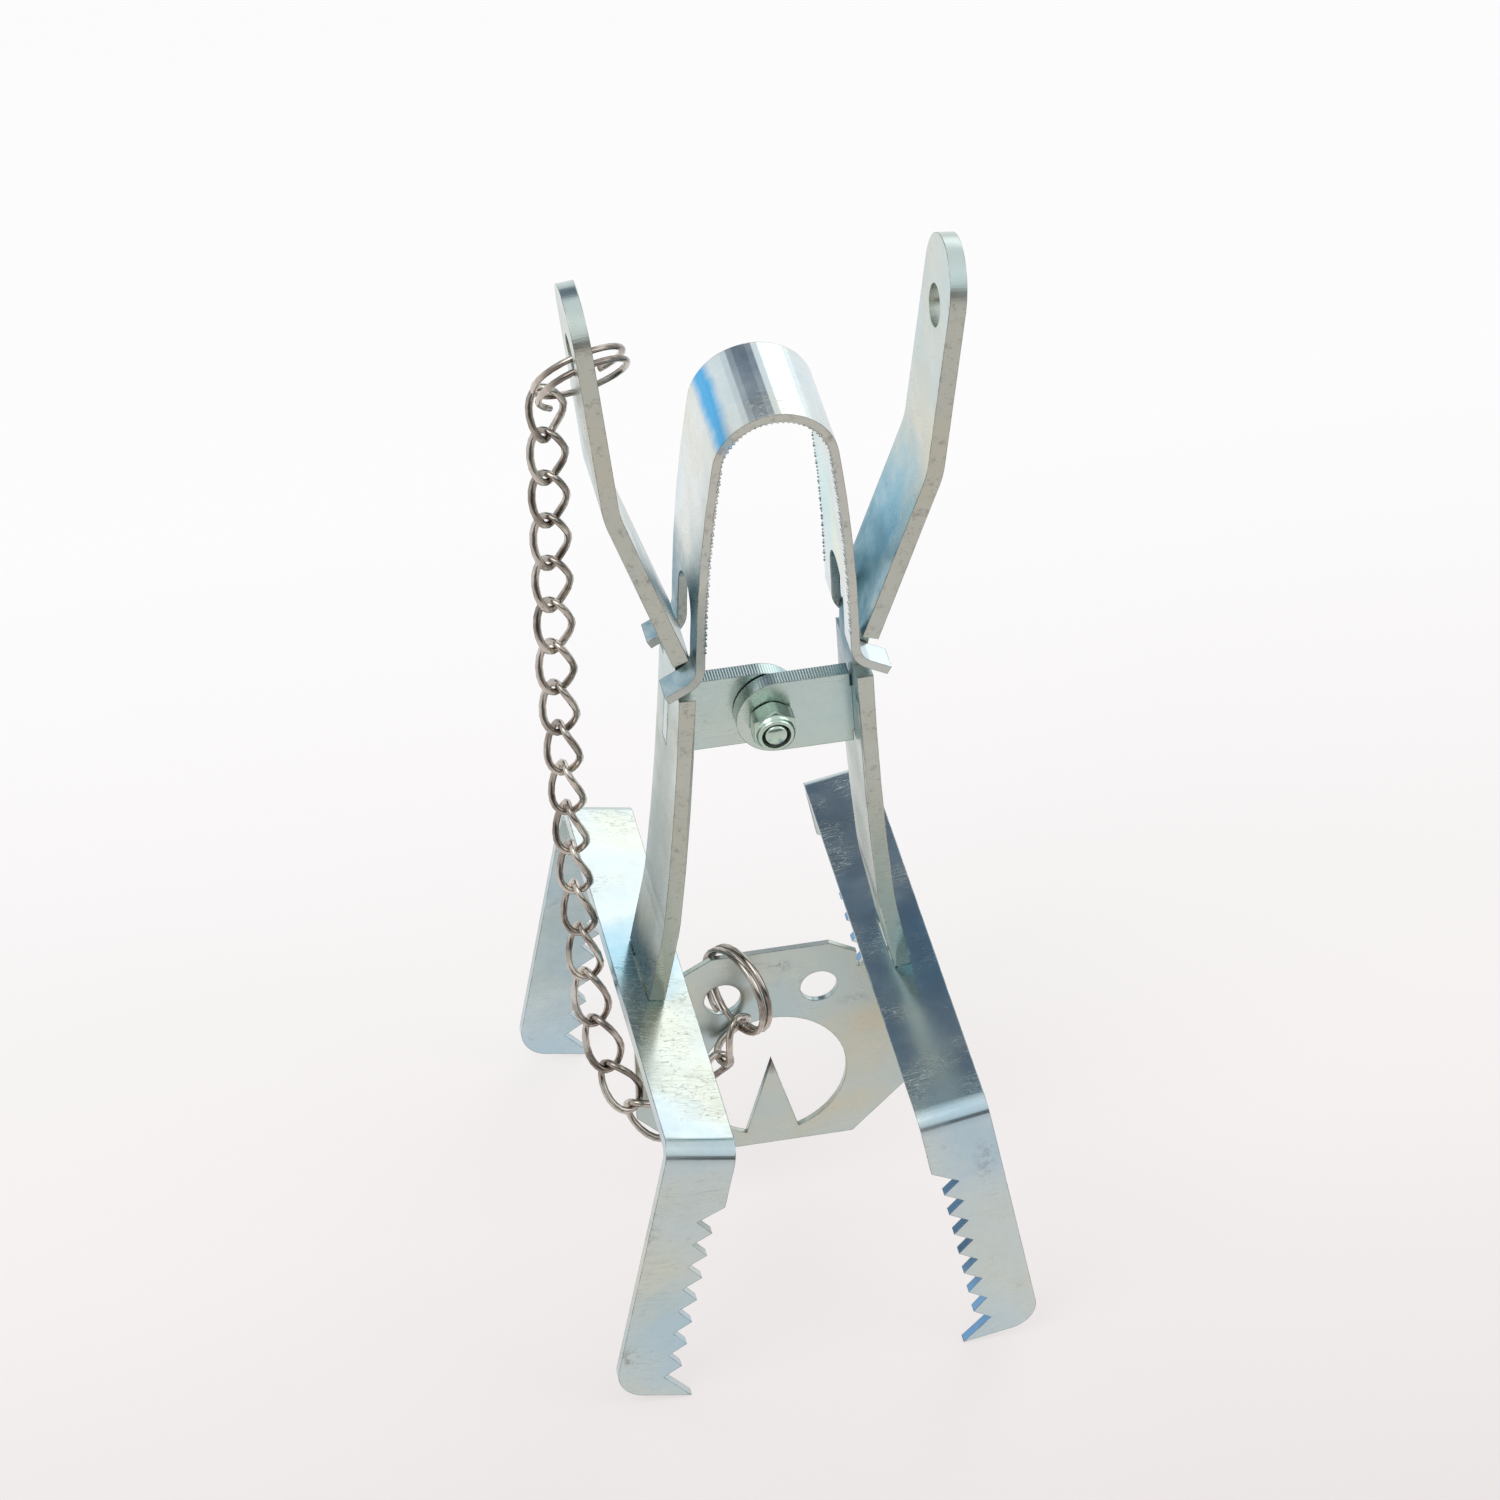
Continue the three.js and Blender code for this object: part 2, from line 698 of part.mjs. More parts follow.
// A twisted chain link: an oval of wire along a direction, its ends turned opposite ways.
function linkGeometry(centre, along, side) {
  const out = along.clone().cross(side);
  const halfLength = (linkLength - linkWire) / 2;
  const halfWidth = (linkWidth - linkWire) / 2;
  const place = (angle) => {
    const turn = linkTwist * swelled(Math.cos(angle));
    const across = halfWidth * swelled(Math.sin(angle));
    return centre
      .clone()
      .addScaledVector(along, halfLength * swelled(Math.cos(angle)))
      .addScaledVector(side, across * Math.cos(turn))
      .addScaledVector(out, across * Math.sin(turn));
  };
  const positions = [];
  const step = (2 * Math.PI) / linkSteps;
  for (let i = 0; i < linkSteps; i++) {
    const angle = i * step;
    const turn = linkTwist * Math.cos(angle);
    const forward = place(angle + step / 2).sub(place(angle - step / 2)).normalize();
    const flat = out.clone().multiplyScalar(Math.cos(turn)).addScaledVector(side, -Math.sin(turn));
    const first = forward.clone().cross(flat).normalize();
    const second = forward.clone().cross(first);
    for (let j = 0; j < linkSides; j++) {
      const around = (2 * Math.PI * j) / linkSides;
      const point = place(angle)
        .addScaledVector(first, (linkWire / 2) * Math.cos(around))
        .addScaledVector(second, (linkWire / 2) * Math.sin(around));
      positions.push(point.x, point.y, point.z);
    }
  }
  const index = [];
  for (let i = 0; i < linkSteps; i++) {
    for (let j = 0; j < linkSides; j++) {
      const a = i * linkSides + j;
      const b = i * linkSides + ((j + 1) % linkSides);
      const c = ((i + 1) % linkSteps) * linkSides + j;
      const d = ((i + 1) % linkSteps) * linkSides + ((j + 1) % linkSides);
      index.push(a, b, c, b, d, c);
    }
  }
  const geometry = new THREE.BufferGeometry();
  geometry.setAttribute("position", new THREE.Float32BufferAttribute(positions, 3));
  geometry.setIndex(index);
  return geometry;
}

function chain() {
  const group = new THREE.Group();
  const route = new THREE.CatmullRomCurve3(chainRoute.map(([x, y, z]) => new THREE.Vector3(x, y, z)));
  route.arcLengthDivisions = 2000;
  const length = route.getLength();
  const pitch = linkLength - 2 * linkWire - linkGap;
  const count = Math.round(length / pitch) + 1;
  for (let i = 0; i < count; i++) {
    const share = i / (count - 1);
    const along = route.getTangentAt(share);
    const front = new THREE.Vector3(0, -1, 0);
    front.addScaledVector(along, -front.dot(along)).normalize();
    const base = front.cross(along);
    const place = share * (chainRollDegrees.length - 1);
    const low = Math.min(Math.floor(place), chainRollDegrees.length - 2);
    const next = chainRollDegrees[low + 1];
    const roll = chainRollDegrees[low] + (place - low) * (next - chainRollDegrees[low]);
    base.applyAxisAngle(along, radians(roll));
    const name = "chain_link_" + String(i + 1).padStart(2, "0");
    group.add(piece(name, geometryOf(solid(linkGeometry(route.getPointAt(share), along, base))), nickel()));
  }
  return group;
}

const trap = new THREE.Group();
trap.add(side("right", -lugGapHalf - lugThickness, -lugGapHalf, radians(3.6), radians(2)));
const leftSide = side("left", lugGapHalf, lugGapHalf + lugThickness, radians(0.5), radians(2.1));
leftSide.scale.x = -1;
trap.add(leftSide);
trap.add(spring(), bolt(), nut(), insert());
trap.add(triggerPlate(), lowerRing(), upperRing(), chain());

export default trap;
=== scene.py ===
# The set mole trap in the studio: zinc-plated steel with a nickel chain.
# All sizes are in metres, in the frame of the solids.
import json
import math

import bmesh
import bpy
from mathutils import Matrix, Vector


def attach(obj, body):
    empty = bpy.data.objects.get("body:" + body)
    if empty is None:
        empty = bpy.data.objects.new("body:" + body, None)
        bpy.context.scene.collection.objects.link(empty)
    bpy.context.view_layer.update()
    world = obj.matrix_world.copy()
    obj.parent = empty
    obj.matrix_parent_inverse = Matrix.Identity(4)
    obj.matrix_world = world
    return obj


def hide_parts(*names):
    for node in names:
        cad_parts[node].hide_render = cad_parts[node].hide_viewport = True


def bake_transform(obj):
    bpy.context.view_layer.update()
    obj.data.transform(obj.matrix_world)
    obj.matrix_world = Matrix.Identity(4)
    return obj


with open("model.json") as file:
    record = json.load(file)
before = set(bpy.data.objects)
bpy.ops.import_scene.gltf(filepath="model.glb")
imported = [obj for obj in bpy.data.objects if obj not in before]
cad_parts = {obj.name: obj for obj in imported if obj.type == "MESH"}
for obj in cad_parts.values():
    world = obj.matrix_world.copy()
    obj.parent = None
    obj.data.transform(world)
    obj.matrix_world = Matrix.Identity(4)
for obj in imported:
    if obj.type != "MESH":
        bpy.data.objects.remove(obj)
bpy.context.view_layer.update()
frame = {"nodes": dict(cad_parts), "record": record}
MM = 0.001
nodes = frame["nodes"]
bodies = frame["record"]["behaviour"]["bodies"]
body_of = {node: body for body, names in bodies.items() for node in names}

# The photograph's camera: its turn, tilt and roll in degrees, and the point that it looks at.
AZIMUTH, TILT, ROLL = 11.183, 39.032, -0.906
TARGET = Vector((-3.413, 0.0, 115.8)) * MM
DISTANCE = 1538.46 * MM
LENS, SENSOR = 192.0, 36.0

# The trigger plate's round mouth, and the spike that stands on the flat at the mouth's foot.
MOUTH_RADIUS = 15.2 * MM
MOUTH_FOOT_BELOW = 22.0 * MM
SPIKE_HALF_WIDTH = 5.3 * MM
SPIKE_ABOVE_MOUTH_CENTRE = 4.1 * MM

# The burrs that the press left along the spring's inner edges, above its slots. The heart is a
# point inside the arch, by which a face that looks inward is known.
SPRING_HEART = Vector((0.0, 0.0, 0.17))
SPRING_EDGE_BEYOND = 11.0 * MM
BURR_PITCH = 0.85 * MM
BURR_RADIUS = 0.27 * MM
LOWEST_BURR = 152.0 * MM

# The shear's ribs on the lugs' tops, and where the blue on the right claws' teeth ends.
RIB_PITCH = 0.55 * MM
BLUE_TEETH_FADE = 50.0 * MM
BLUE_TEETH_END = 54.0 * MM

# The rounding that the light sees on cut edges, which also sets the width of the dark line painted along
# them, partly burr and partly painted shade, and the angles from which an edge stays sharp.
CUT_EDGE = 0.3 * MM
BOLT_EDGE = 0.25 * MM
SHARP_WIRE = math.radians(60.0)
SHARP_PLATE = math.radians(25.0)

# Points of a solid nearer than the first are one point; an edge shorter than the second is none.
SAME_POINT = 2e-6
NO_LENGTH = 1e-6

# The table, and how far back its near, middle and far tones lie; the darker near tone is painted shadow.
FLOOR_SIZE = 12.0
FLOOR_HEIGHT = -0.4 * MM
FLOOR_NEAR, FLOOR_FAR = -0.22, 0.24

# Where the dim screen and the bright window stand, seen from the trap.
SCREEN_TOWARD = (-0.04, 0.762, 0.646)
WINDOW_TOWARD = (0.52, 0.71, 0.475)


def place_camera():
    """The photograph's viewpoint, built from its turn, tilt and roll."""
    azimuth, tilt, roll = math.radians(AZIMUTH), math.radians(TILT), math.radians(ROLL)
    forward = Vector((
        math.sin(azimuth) * math.cos(tilt),
        math.cos(azimuth) * math.cos(tilt),
        -math.sin(tilt),
    ))
    level = Vector((math.cos(azimuth), -math.sin(azimuth), 0.0))
    upright = level.cross(forward)
    right = level * math.cos(roll) + upright * math.sin(roll)
    up = upright * math.cos(roll) - level * math.sin(roll)
    place = TARGET - forward * DISTANCE
    data = bpy.data.cameras.new("camera")
    data.sensor_fit = "HORIZONTAL"
    data.sensor_width = SENSOR
    data.lens = LENS
    data.clip_start, data.clip_end = 0.05, 20.0
    camera = bpy.data.objects.new("camera", data)
    camera.matrix_world = Matrix((
        (right.x, up.x, -forward.x, place.x),
        (right.y, up.y, -forward.y, place.y),
        (right.z, up.z, -forward.z, place.z),
        (0, 0, 0, 1),
    ))
    bpy.context.scene.collection.objects.link(camera)
    bpy.context.scene.camera = camera


class Nodes:
    """A short way to write the nodes of a material, a group or the world."""

    def __init__(self, tree):
        self.tree = tree

    def feed(self, socket, value):
        if isinstance(value, bpy.types.NodeSocket):
            self.tree.links.new(value, socket)
        elif isinstance(value, tuple) and socket.type == "RGBA":
            socket.default_value = (*value, 1.0)
        else:
            socket.default_value = value

    def add(self, kind, sockets=(), **settings):
        node = self.tree.nodes.new(kind)
        for key, value in settings.items():
            setattr(node, key, value)
        for key, value in dict(sockets).items():
            self.feed(node.inputs[key], value)
        return node

    def parts(self, vector):
        """The x, y and z of a vector."""
        return self.add("ShaderNodeSeparateXYZ", {0: vector}).outputs

    def rounded(self, radius):
        """The normal over edges that are rounded by a radius."""
        return self.add("ShaderNodeBevel", {"Radius": radius}, samples=6).outputs[0]

    def noise(self, place, scale, detail=3.0, rough=0.55):
        return self.add("ShaderNodeTexNoise", {
            "Vector": place, "Scale": scale, "Detail": detail, "Roughness": rough,
        }).outputs["Fac"]

    def span(self, value, low, high, out_low=0.0, out_high=1.0):
        return self.add(
            "ShaderNodeMapRange", {0: value, 1: low, 2: high, 3: out_low, 4: out_high}, clamp=True
        ).outputs[0]

    def maths(self, kind, a, b=0.0):
        return self.add("ShaderNodeMath", {0: a, 1: b}, operation=kind).outputs[0]

    def mix(self, share, a, b):
        return self.add("ShaderNodeMix", {0: share, 6: a, 7: b}, data_type="RGBA").outputs[2]

    def vector(self, kind, a, b=(0.0, 0.0, 0.0)):
        node = self.add("ShaderNodeVectorMath", {0: a, 1: b}, operation=kind)
        return node.outputs["Value"] if kind in ("LENGTH", "DOT_PRODUCT") else node.outputs["Vector"]


def new_group(name, inputs, outputs):
    """An empty node group with named sockets, and its own input and output nodes."""
    tree = bpy.data.node_groups.new(name, "ShaderNodeTree")
    for label, kind in inputs:
        tree.interface.new_socket(name=label, in_out="INPUT", socket_type="NodeSocket" + kind)
    for label, kind in outputs:
        tree.interface.new_socket(name=label, in_out="OUTPUT", socket_type="NodeSocket" + kind)
    g = Nodes(tree)
    return g, g.add("NodeGroupInput").outputs, g.add("NodeGroupOutput").inputs


def scratch_group():
    """Thin straight marks along one direction, where a stretched noise crosses its middle."""
    g, given, out = new_group(
        "scratches",
        [("Place", "Vector"), ("Turn", "Vector"), ("Scale", "Float"), ("Width", "Float")],
        [("Mask", "Float")],
    )
    drawn = g.add("ShaderNodeMapping", {"Vector": given["Place"], "Rotation": given["Turn"]})
    drawn.inputs["Scale"].default_value = (1.0, 14.0, 14.0)
    lines = g.noise(drawn.outputs[0], given["Scale"], 1.0, 0.4)
    off_middle = g.maths("ABSOLUTE", g.maths("SUBTRACT", lines, 0.5))
    thin = g.span(off_middle, 0.0, given["Width"], 1.0, 0.0)
    where = g.span(g.noise(given["Place"], 60.0, 2.0), 0.46, 0.6)
    g.feed(out["Mask"], g.maths("MULTIPLY", thin, where))
    return g.tree


def plating_group():
    """Bright zinc plate: cloudy tints, fine spangle, dull specks and thin scratches."""
    g, given, out = new_group(
        "zinc_plating",
        [
            ("Place", "Vector"), ("Base", "Color"), ("Cool", "Color"), ("Warm", "Color"),
            ("Tint", "Float"), ("Roughness", "Float"), ("Scratches", "Float"),
        ],
        [("Colour", "Color"), ("Roughness", "Float"), ("Height", "Float")],
    )
    cloud = g.noise(given["Place"], 30.0, 3.0)
    tinted = g.mix(g.span(cloud, 0.36, 0.5, 1.0, 0.0), given["Base"], given["Cool"])
    tinted = g.mix(g.span(cloud, 0.5, 0.66), tinted, given["Warm"])
    colour = g.mix(given["Tint"], given["Base"], tinted)
    grain = g.noise(given["Place"], 520.0, 4.0, 0.7)
    colour = g.mix(g.span(grain, 0.35, 0.7, 0.0, 0.16), colour, (0.42, 0.48, 0.50))
    specks = g.span(g.noise(given["Place"], 230.0, 6.0, 0.75), 0.63, 0.74)
    colour = g.mix(g.maths("MULTIPLY", specks, 0.5), colour, (0.24, 0.28, 0.30))
    masks = []
    for turn, scale, width in (((0.3, 0.5, 0.9), 75.0, 0.016), ((1.0, 0.2, -0.6), 95.0, 0.012)):
        mark = g.add("ShaderNodeGroup", node_tree=SCRATCHES)
        for key, value in (
            ("Place", given["Place"]), ("Turn", turn), ("Scale", scale), ("Width", width),
        ):
            g.feed(mark.inputs[key], value)
        masks.append(mark.outputs[0])
    marks = g.maths("MULTIPLY", g.maths("MAXIMUM", *masks), given["Scratches"])
    colour = g.mix(g.maths("MULTIPLY", marks, 0.3), colour, (0.44, 0.50, 0.54))
    spread = g.span(g.noise(given["Place"], 90.0, 4.0, 0.6), 0.3, 0.75, -0.05, 0.1)
    rough = g.maths("ADD", given["Roughness"], spread)
    rough = g.maths("ADD", rough, g.maths("MULTIPLY", specks, 0.15))
    rough = g.maths("ADD", rough, g.maths("MULTIPLY", marks, 0.45))
    height = g.maths("SUBTRACT", g.maths("MULTIPLY", grain, 0.5), g.maths("MULTIPLY", marks, 0.6))
    g.feed(out["Colour"], colour)
    g.feed(out["Roughness"], rough)
    g.feed(out["Height"], height)
    return g.tree


def reflection_tint_and_grime_group():
    """A patch round a centre: soft for painted reflections and for tints, or broken into grains for
    grime.
    """
    g, given, out = new_group(
        "reflection_tint_and_grime_patch",
        [("Place", "Vector"), ("Centre", "Vector"), ("Reach", "Vector"), ("Grain", "Float")],
        [("Mask", "Float")],
    )
    away = g.vector("DIVIDE", g.vector("SUBTRACT", given["Place"], given["Centre"]), given["Reach"])
    ragged = g.span(g.noise(given["Place"], 160.0, 4.0, 0.6), 0.3, 0.7, -0.18, 0.18)
    far = g.maths("ADD", g.vector("LENGTH", away), ragged)
    grains = g.span(g.noise(given["Place"], 700.0, 5.0, 0.7), 0.46, 0.6)
    gaps = g.maths("SUBTRACT", 1.0, grains)
    kept = g.maths("SUBTRACT", 1.0, g.maths("MULTIPLY", given["Grain"], gaps))
    g.feed(out["Mask"], g.maths("MULTIPLY", g.span(far, 0.3, 1.0, 1.0, 0.0), kept))
    return g.tree


def new_material(name, metallic):
    """A material with its nodes, its shader, and the places that its textures start from."""
    material = bpy.data.materials.new(name)
    material.use_nodes = True
    m = Nodes(material.node_tree)
    shader = material.node_tree.nodes["Principled BSDF"]
    shader.inputs["Metallic"].default_value = metallic
    return material, m, shader, m.add("ShaderNodeTexCoord").outputs


def roughen(m, shader, height, strength, distance, edge=None):
    """Bump from a height, over edges that are rounded by the given radius."""
    bump = m.add("ShaderNodeBump", {"Strength": strength, "Distance": distance, "Height": height})
    if edge:
        m.feed(bump.inputs["Normal"], m.rounded(edge))
    m.feed(shader.inputs["Normal"], bump.outputs[0])


def zinc(
    name, base, cool, warm, rough,
    tint=0.6, scratches=0.5, edge=CUT_EDGE, reflections_tints_and_grime=(), inner_reflections_and_tints=False, extra=None,
):
    """Zinc-plated steel. Each patch has a centre and a reach in millimetres, a hue and a share of it;
    the teal, blue and sky-blue ones are painted reflections, the others tints and grime.
    With the inner patches asked for, the hues other than the dull one stay on the faces toward the
    trap's middle."""
    material, m, shader, place = new_material(name, 1.0)
    inner = 1.0
    if inner_reflections_and_tints:
        across, facing = m.parts(place["Object"])[0], m.parts(place["Normal"])[0]
        inner = m.span(m.maths("MULTIPLY", across, facing), -0.006, 0.0, 1.0, 0.0)
    plated = m.add("ShaderNodeGroup", node_tree=PLATING)
    for key, value in (
        ("Place", place["Object"]), ("Base", base), ("Cool", cool), ("Warm", warm),
        ("Tint", tint), ("Roughness", rough), ("Scratches", scratches),
    ):
        m.feed(plated.inputs[key], value)
    colour, height = plated.outputs["Colour"], plated.outputs["Height"]
    for centre, reach, hue, share in reflections_tints_and_grime:
        patch = m.add("ShaderNodeGroup", node_tree=REFLECTION_TINT_AND_GRIME)
        m.feed(patch.inputs["Place"], place["Object"])
        patch.inputs["Centre"].default_value = [value * MM for value in centre]
        patch.inputs["Reach"].default_value = [value * MM for value in reach]
        patch.inputs["Grain"].default_value = 1.0 if hue == SMUDGE else 0.0
        mask = m.maths("MULTIPLY", patch.outputs[0], share)
        mask = m.maths("MULTIPLY", mask, 1.0 if hue == DULL else inner)
        colour = m.mix(mask, colour, hue)
    if extra:
        colour, height = extra(m, place, colour, height)
    if edge:
        # A dark line painted along every edge: partly burr, partly painted shade in the corners.
        flat = m.add("ShaderNodeNewGeometry").outputs["Normal"]
        edge_burr_and_shade = m.span(m.vector("DOT_PRODUCT", m.rounded(edge), flat), 0.9, 0.985, 0.9, 0.0)
        broken = m.span(m.noise(place["Object"], 260.0, 4.0, 0.7), 0.38, 0.56, 0.25, 1.0)
        colour = m.mix(m.maths("MULTIPLY", edge_burr_and_shade, broken), colour, (0.13, 0.13, 0.12))
    m.feed(shader.inputs["Base Color"], colour)
    m.feed(shader.inputs["Roughness"], plated.outputs["Roughness"])
    roughen(m, shader, height, 0.14, 0.00012, edge)
    return material


def sheared_tops(m, place, colour, height):
    """The fine upright ribs that the shear leaves along the lugs' top edges, with painted shade in the
    grooves between them.
    """
    along, facing = m.parts(place["Object"])[0], m.parts(place["Normal"])[2]
    top = m.span(facing, 0.8, 0.95)
    wave = m.maths("SINE", m.maths("MULTIPLY", along, 2.0 * math.pi / RIB_PITCH))
    ribs = m.span(wave, -0.7, 0.4)
    # Painted shade darkens the grooves between the ribs.
    painted_groove_shade = m.maths("MULTIPLY", top, m.span(ribs, 0.0, 1.0, 0.35, 0.0))
    raised = m.maths("ADD", height, m.maths("MULTIPLY", top, m.maths("MULTIPLY", ribs, 1.6)))
    return m.mix(painted_groove_shade, colour, (0.16, 0.20, 0.22)), raised


def sheared_sides(m, place, colour, height):
    """The strips' cut sides: beige, with dark pits."""
    facing = m.parts(place["Normal"])[1]
    side = m.span(m.maths("ABSOLUTE", facing), 0.85, 0.95)
    colour = m.mix(m.maths("MULTIPLY", side, 0.7), colour, (0.53, 0.53, 0.46))
    pits = m.span(m.noise(place["Object"], 420.0, 6.0, 0.8), 0.53, 0.64)
    streaks = m.span(m.noise(place["Object"], 90.0, 3.0, 0.6), 0.4, 0.62, 0.35, 1.0)
    pitted = m.maths("MULTIPLY", side, m.maths("MULTIPLY", pits, streaks))
    colour = m.mix(m.maths("MULTIPLY", pitted, 0.7), colour, (0.17, 0.16, 0.14))
    return colour, m.maths("SUBTRACT", height, pitted)


def blue_teeth(m, place, colour, height):
    """The right claws' tooth flanks, which the plating left blue."""
    along, facing = m.parts(place["Object"]), m.parts(place["Normal"])[0]
    low = m.span(along[2], BLUE_TEETH_FADE, BLUE_TEETH_END, 1.0, 0.0)
    mask = m.maths("MULTIPLY", m.span(facing, -0.55, -0.25, 0.75, 0.0), low)
    mask = m.maths("MULTIPLY", mask, m.span(along[0], -0.001, 0.001))
    return m.mix(mask, colour, (0.08, 0.30, 0.62)), height


def nickel():
    """Nickel wire: warm, bright and streaky, with dark patches and dark specks painted in as reflections
    of the dark room round it.
    """
    material, m, shader, place = new_material("nickel", 1.0)
    cloud = m.noise(place["Object"], 130.0, 3.0)
    # Painted reflection: the dark tone in the cloud and the dark specks stand in for dark surroundings
    # mirrored in the wire.
    colour = m.mix(m.span(cloud, 0.36, 0.6), (0.22, 0.185, 0.16), (0.62, 0.56, 0.50))
    specks = m.span(m.noise(place["Object"], 420.0, 5.0, 0.7), 0.6, 0.74)
    colour = m.mix(m.maths("MULTIPLY", specks, 0.6), colour, (0.10, 0.08, 0.07))
    m.feed(shader.inputs["Base Color"], colour)
    m.feed(shader.inputs["Roughness"], m.span(m.noise(place["Object"], 300.0), 0.3, 0.7, 0.08, 0.2))
    roughen(m, shader, m.noise(place["Object"], 700.0), 0.12, 0.00008)
    return material


def nylon():
    """The dark nylon ring that locks the nut."""
    material, m, shader, place = new_material("nylon", 0.0)
    cloud = m.noise(place["Object"], 300.0)
    colour = m.mix(m.span(cloud, 0.3, 0.7), (0.05, 0.06, 0.06), (0.14, 0.16, 0.16))
    m.feed(shader.inputs["Base Color"], colour)
    shader.inputs["Roughness"].default_value = 0.55
    roughen(m, shader, m.noise(place["Object"], 500.0), 0.2, 0.0001)
    return material


# The finishes. A patch's numbers are millimetres in the frame of the solids. The teal, blue and sky-blue
# hues are painted reflections of dark and blue things round the trap.
SCRATCHES = scratch_group()
PLATING = plating_group()
REFLECTION_TINT_AND_GRIME = reflection_tint_and_grime_group()
TEAL_REFLECTION = (0.04, 0.19, 0.26)
BLUE_REFLECTION = (0.15, 0.43, 0.59)
SKY_BLUE_REFLECTION = (0.10, 0.47, 0.84)
DULL = (0.30, 0.37, 0.33)
SMUDGE = (0.24, 0.26, 0.25)
MATERIALS = {
    "arm": zinc(
        "zinc_arm", (0.60, 0.66, 0.61), (0.54, 0.70, 0.72), (0.68, 0.64, 0.48), 0.26, tint=0.7,
        reflections_tints_and_grime=[
            ((22, 0, 98), (30, 14, 56), DULL, 0.8), ((-22, 0, 98), (30, 14, 56), DULL, 0.8),
            # Painted reflections: blue and teal on the levers' and necks' inner faces.
            ((21, 0, 168), (14, 16, 26), BLUE_REFLECTION, 0.85), ((16, 0, 145), (18, 22, 28), TEAL_REFLECTION, 1.0),
            ((-21, 0, 168), (12, 14, 20), BLUE_REFLECTION, 0.3), ((-16, 0, 146), (12, 14, 18), TEAL_REFLECTION, 0.6),
            ((29, 0, 68), (10, 9, 20), (0.30, 0.56, 0.60), 0.7), ((-29, 0, 68), (10, 9, 20), BLUE_REFLECTION, 0.6),
        ],
        inner_reflections_and_tints=True, extra=sheared_sides,
    ),
    "jaw": zinc(
        "zinc_jaw", (0.59, 0.68, 0.69), (0.47, 0.62, 0.71), (0.64, 0.67, 0.58), 0.21,
        tint=0.85, scratches=0.75,
        reflections_tints_and_grime=[
            # Painted reflections: blue over both decks, and teal on the left jaw's far claw.
            ((-30, 3, 64), (16, 15, 12), BLUE_REFLECTION, 0.6), ((30, -6, 64), (16, 20, 12), BLUE_REFLECTION, 0.45),
            ((-30, -54, 18), (16, 8, 16), (0.42, 0.60, 0.70), 0.6),
            ((-32, 54, 30), (18, 8, 30), TEAL_REFLECTION, 0.3),
            ((-37, -54, 47), (5, 4, 9), SMUDGE, 0.6), ((31, -54, 50), (3, 4, 9), SMUDGE, 0.4),
            ((-40, -54, 12), (3, 4, 4), SMUDGE, 0.6), ((39, -54, 14), (3, 4, 5), SMUDGE, 0.3),
        ],
        extra=blue_teeth,
    ),
    "plate": zinc(
        "zinc_plate", (0.56, 0.61, 0.56), (0.48, 0.60, 0.62), (0.66, 0.58, 0.40), 0.28, tint=0.85,
        reflections_tints_and_grime=[
            ((-8, 0, 54), (7, 4, 3), (0.30, 0.25, 0.18), 0.6), ((2, 0, 60), (3, 4, 2), SMUDGE, 0.7),
            ((17, 0, 49), (4, 4, 2), SMUDGE, 0.4), ((0, 0, 35), (1.5, 4, 3), (0.22, 0.17, 0.12), 0.8),
        ],
    ),
    "lug": zinc(
        "zinc_lug", (0.56, 0.68, 0.65), (0.46, 0.64, 0.68), (0.66, 0.70, 0.60), 0.24,
        extra=sheared_tops,
    ),
    "bolt": zinc(
        "zinc_bolt", (0.54, 0.68, 0.58), (0.42, 0.62, 0.54), (0.66, 0.72, 0.60), 0.2,
        edge=BOLT_EDGE,
    ),
    "spring": zinc(
        "zinc_spring", (0.77, 0.83, 0.83), (0.66, 0.80, 0.87), (0.80, 0.79, 0.66), 0.26, tint=0.75,
        reflections_tints_and_grime=[
            # Painted reflections: the sky-blue stripe on the left shoulder and the dark teal on the left
            # flank. The cyan and yellow on the right leg's inner face are tints.
            ((-9.6, 0, 198.5), (2.6, 60, 3.4), SKY_BLUE_REFLECTION, 1.0), ((-17, 0, 152), (16, 40, 17), TEAL_REFLECTION, 1.0),
            ((12.5, 4, 172), (2.4, 12, 26), (0.56, 0.84, 0.82), 0.8),
            ((12.5, -3, 160), (2.4, 7, 22), (0.80, 0.80, 0.56), 0.6),
        ],
        extra=sheared_sides,
    ),
    # The beads' dark zinc: partly the burrs' own rough metal, partly painted shade along the spring's
    # edges.
    "burr": zinc(
        "zinc_burr", (0.34, 0.35, 0.33), (0.26, 0.30, 0.32), (0.40, 0.36, 0.28), 0.35, edge=None,
    ),
    "nickel": nickel(),
    "nylon": nylon(),
}
FINISH_OF = (
    ("arm", "arm"), ("jaw", "jaw"), ("trigger_plate", "plate"), ("lug", "lug"),
    ("bolt", "bolt"), ("lock_nut", "bolt"), ("spring", "spring"), ("insert", "nylon"),
)


def finish_of(node):
    """The finish whose word is in the node's name; the chain and its rings are nickel."""
    return next((finish for word, finish in FINISH_OF if word in node), "nickel")


